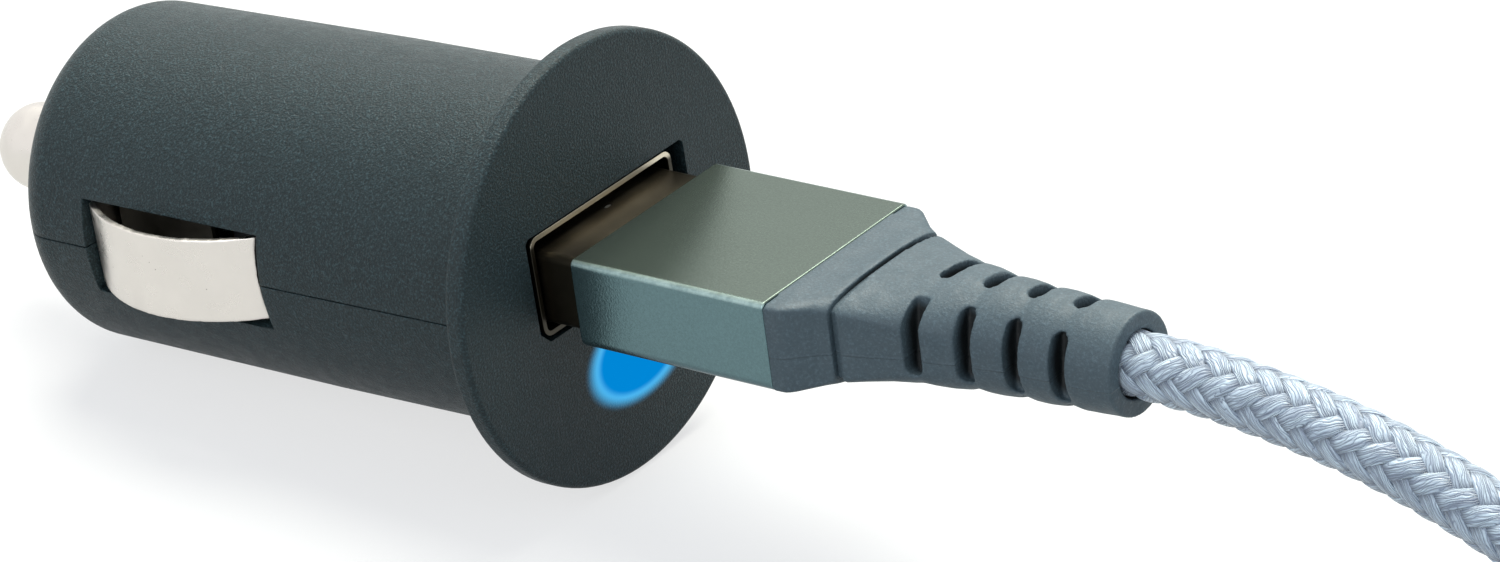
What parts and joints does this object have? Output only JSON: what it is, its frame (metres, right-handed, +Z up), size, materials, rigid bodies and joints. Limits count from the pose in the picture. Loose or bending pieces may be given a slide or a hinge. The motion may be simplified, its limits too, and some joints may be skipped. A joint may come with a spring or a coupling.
{
  "type": "car usb charger plug with lead",
  "caption": "Round 12 V car charger with a flanged face, sprung nose and side contacts and a lit window, with a braided USB lead seated in its port.",
  "frame": {"origin": "on the surface it lies on, under the middle of the box round the charger and the lead's near plug and strain relief", "axes": "+X from the nose contact toward the lead, +Z up from the surface, +Y across the port's slot"},
  "size_m": [0.1755, 0.0765, 0.0264],
  "materials": {
    "charger_plastic": "fine-grained dark blue-grey moulded plastic",
    "lit_window": "translucent blue, lit from behind",
    "nickel": "bright nickel plate with fine pits",
    "spring_steel": "drawn wire",
    "brass": "bare sheet",
    "tinned_strip": "tinned strip",
    "board_green": "green solder resist",
    "socket_metal": "warm nickel plate",
    "black_plastic": "moulded black",
    "gold_plate": "gold flash",
    "ferrite": "pressed ferrite",
    "capacitor_can": "drawn can",
    "ceramic_chip": "fired chip",
    "lamp_clear": "clear epoxy",
    "plug_metal": "folded nickel-plated sheet",
    "white_plastic": "moulded white",
    "sleeve_aluminium": "grey anodised with bright edges",
    "relief_rubber": "satin grey moulding",
    "cord_braid": "braided blue-grey jacket",
    "tie_fabric": "woven black strap"
  },
  "bodies": {
    "charger": {"upper_shell": "charger_plastic", "lower_shell": "charger_plastic", "face_plate": "charger_plastic", "light_window": "lit_window", "spring_seat": "brass", "contact_spring": "spring_steel", "ground_strap_left": "tinned_strip", "ground_strap_right": "tinned_strip", "circuit_board": "board_green", "socket_shell": "socket_metal", "socket_tongue": "black_plastic", "socket_contacts": "gold_plate", "choke": "ferrite", "input_capacitor": "capacitor_can", "output_capacitor": "ceramic_chip", "regulator_chip": "black_plastic", "status_led": "lamp_clear"},
    "nose": {"nose_contact": "nickel"},
    "left_contact": {"side_contact_left": "nickel"},
    "right_contact": {"side_contact_right": "nickel"},
    "lead": {"plug_shell": "plug_metal", "plug_insulator": "white_plastic", "plug_contacts": "gold_plate", "plug_housing": "sleeve_aluminium", "strain_relief": "relief_rubber", "cord": "cord_braid", "cord_coil": "cord_braid", "cord_tie": "tie_fabric", "cord_tail": "cord_braid", "far_relief": "relief_rubber", "far_housing": "sleeve_aluminium", "far_shell": "plug_metal"}
  },
  "joints": [
    {"name": "nose_contact_press", "type": "slide", "parent": "charger", "child": "nose", "axis": [0.9961, 0, 0.0887], "range_m": [0, 0.004], "stiffness_N_per_m": 300, "springref_m": -0.004, "deforming": ["contact_spring"]},
    {"name": "side_contact_left_press", "type": "slide", "parent": "charger", "child": "left_contact", "axis": [0, 1, 0], "range_m": [0, 0.0015], "stiffness_N_per_m": 1500, "springref_m": -0.0005},
    {"name": "side_contact_right_press", "type": "slide", "parent": "charger", "child": "right_contact", "axis": [0, -1, 0], "range_m": [0, 0.0015], "stiffness_N_per_m": 1500, "springref_m": -0.0005},
    {"name": "lead_pull", "type": "slide", "parent": "charger", "child": "lead", "axis": [0.9979, 0, 0.0643], "range_m": [0, 0.012]}
  ]
}
